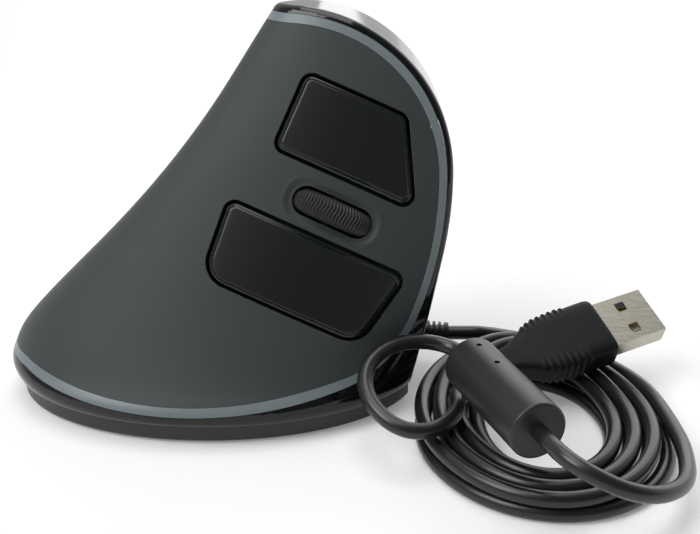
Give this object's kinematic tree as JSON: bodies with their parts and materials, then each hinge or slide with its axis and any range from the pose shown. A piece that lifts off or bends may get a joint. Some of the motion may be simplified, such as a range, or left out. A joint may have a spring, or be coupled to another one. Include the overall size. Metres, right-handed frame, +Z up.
{
  "type": "vertical computer mouse",
  "caption": "Upright ergonomic wired mouse for the right hand, with finger buttons and a scroll wheel on its side, a coiled cord, a ferrite choke and a USB plug.",
  "frame": {"origin": "on the desk under the middle of the mouse body", "axes": "+X towards the cord end, -Y the finger side, +Y the thumb side, +Z up"},
  "size_m": [0.1516, 0.1007, 0.0871],
  "materials": {
    "grip_shell": "fine satin texture",
    "light_ring": "frosted translucent",
    "gloss_frame": "high gloss",
    "base_case": "matt",
    "glide_feet": "smooth slip sheet",
    "screw_steel": "zinc plated",
    "button": "semi-gloss",
    "pin_steel": "ground",
    "inner_plastic": "moulded",
    "switch_case": "moulded",
    "switch_plunger": "moulded",
    "board": "solder mask",
    "wheel_rubber": "ribbed",
    "sensor_dark": "smooth",
    "clear_lens": "clear",
    "chip": "moulded",
    "led": "clear resin",
    "socket": "moulded",
    "cord": "smooth",
    "relief_rubber": "moulded",
    "choke_plastic": "moulded",
    "ferrite": "sintered",
    "plug_plastic": "moulded",
    "plated_steel": "nickel plated",
    "tongue": "moulded",
    "contact_gold": "gold plated"
  },
  "bodies": {
    "case": {"grip_shell": "grip_shell", "light_ring": "light_ring", "gloss_frame": "gloss_frame", "base_case": "base_case", "glide_feet": "glide_feet", "base_screws": "screw_steel", "button_hinge_pins": "pin_steel", "button_hinge_blocks": "inner_plastic", "left_switch": "switch_case", "right_switch": "switch_case", "finger_board": "board", "carriage_pin": "pin_steel", "carriage_bracket": "inner_plastic", "wheel_switch": "switch_case", "wheel_light_emitter": "sensor_dark", "wheel_light_receiver": "sensor_dark", "inner_frame": "inner_plastic", "board_screws": "screw_steel", "back_switch": "switch_case", "forward_switch": "switch_case", "speed_switch": "switch_case", "side_board": "board", "main_board": "board", "sensor_lens": "clear_lens", "sensor_chip": "chip", "controller_chip": "chip", "ring_leds": "led", "cable_socket": "socket", "inner_cable": "cord", "strain_relief": "relief_rubber", "cord_lead": "cord", "cord_coil": "cord", "cord_tail": "cord", "cord_link": "cord", "ferrite_choke": "choke_plastic", "ferrite_core": "ferrite", "plug_grip": "plug_plastic", "usb_shell": "plated_steel", "usb_tongue": "tongue", "usb_contacts": "contact_gold"},
    "left_button": {"left_button": "button"},
    "right_button": {"right_button": "button"},
    "left_plunger": {"left_switch_plunger": "switch_plunger"},
    "right_plunger": {"right_switch_plunger": "switch_plunger"},
    "carriage": {"wheel_carriage": "inner_plastic", "wheel_axle": "pin_steel"},
    "wheel": {"wheel_tyre": "wheel_rubber", "wheel_hub": "inner_plastic"},
    "wheel_plunger": {"wheel_switch_plunger": "switch_plunger"},
    "back_button": {"back_button": "button", "back_switch_plunger": "switch_plunger"},
    "forward_button": {"forward_button": "button", "forward_switch_plunger": "switch_plunger"},
    "speed_button": {"speed_button": "button", "speed_switch_plunger": "switch_plunger"}
  },
  "joints": [
    {"name": "left_button_press", "type": "hinge", "parent": "case", "child": "left_button", "pos_m": [0.01121, 0.00449, 0.06604], "axis": [0.4067, 0.3378, 0.8488], "range_deg": [0, 1.21], "stiffness_Nm_per_rad": 1, "springref_deg": -1.15},
    {"name": "right_button_press", "type": "hinge", "parent": "case", "child": "right_button", "pos_m": [-0.00576, -0.00551, 0.04092], "axis": [0.4067, 0.3378, 0.8488], "range_deg": [0, 1.04], "stiffness_Nm_per_rad": 1.2, "springref_deg": -1.15},
    {"name": "wheel_click", "type": "hinge", "parent": "case", "child": "carriage", "pos_m": [0.0091, 0.00019, 0.04944], "axis": [0.4067, 0.3378, 0.8488], "range_deg": [0, 1], "stiffness_Nm_per_rad": 1.5, "springref_deg": -1.15},
    {"name": "wheel_spin", "type": "hinge", "parent": "carriage", "child": "wheel", "pos_m": [0.02463, -0.0025, 0.04307], "axis": [-0.4067, -0.3378, -0.8488], "continuous": true},
    {"name": "left_plunger_slide", "type": "slide", "parent": "case", "child": "left_plunger", "axis": [0, 0.9291, -0.3697], "range_m": [0, 0.0007]},
    {"name": "right_plunger_slide", "type": "slide", "parent": "case", "child": "right_plunger", "axis": [0, 0.9291, -0.3697], "range_m": [0, 0.0007]},
    {"name": "wheel_plunger_slide", "type": "slide", "parent": "case", "child": "wheel_plunger", "axis": [0, 0.9291, -0.3697], "range_m": [0, 0.0007]},
    {"name": "back_button_press", "type": "slide", "parent": "case", "child": "back_button", "axis": [0, -1, 0], "range_m": [0, 0.00035], "stiffness_N_per_m": 1500, "springref_m": -0.0003},
    {"name": "forward_button_press", "type": "slide", "parent": "case", "child": "forward_button", "axis": [0, -1, 0], "range_m": [0, 0.00035], "stiffness_N_per_m": 1500, "springref_m": -0.0003},
    {"name": "speed_button_press", "type": "slide", "parent": "case", "child": "speed_button", "axis": [0, -1, 0], "range_m": [0, 0.00035], "stiffness_N_per_m": 1500, "springref_m": -0.0003}
  ],
  "couplings": [
    {"joint": "left_plunger_slide", "follows": "left_button_press", "m_per_rad": 0.02964},
    {"joint": "right_plunger_slide", "follows": "right_button_press", "m_per_rad": 0.03432},
    {"joint": "wheel_plunger_slide", "follows": "wheel_click", "m_per_rad": 0.03588}
  ]
}
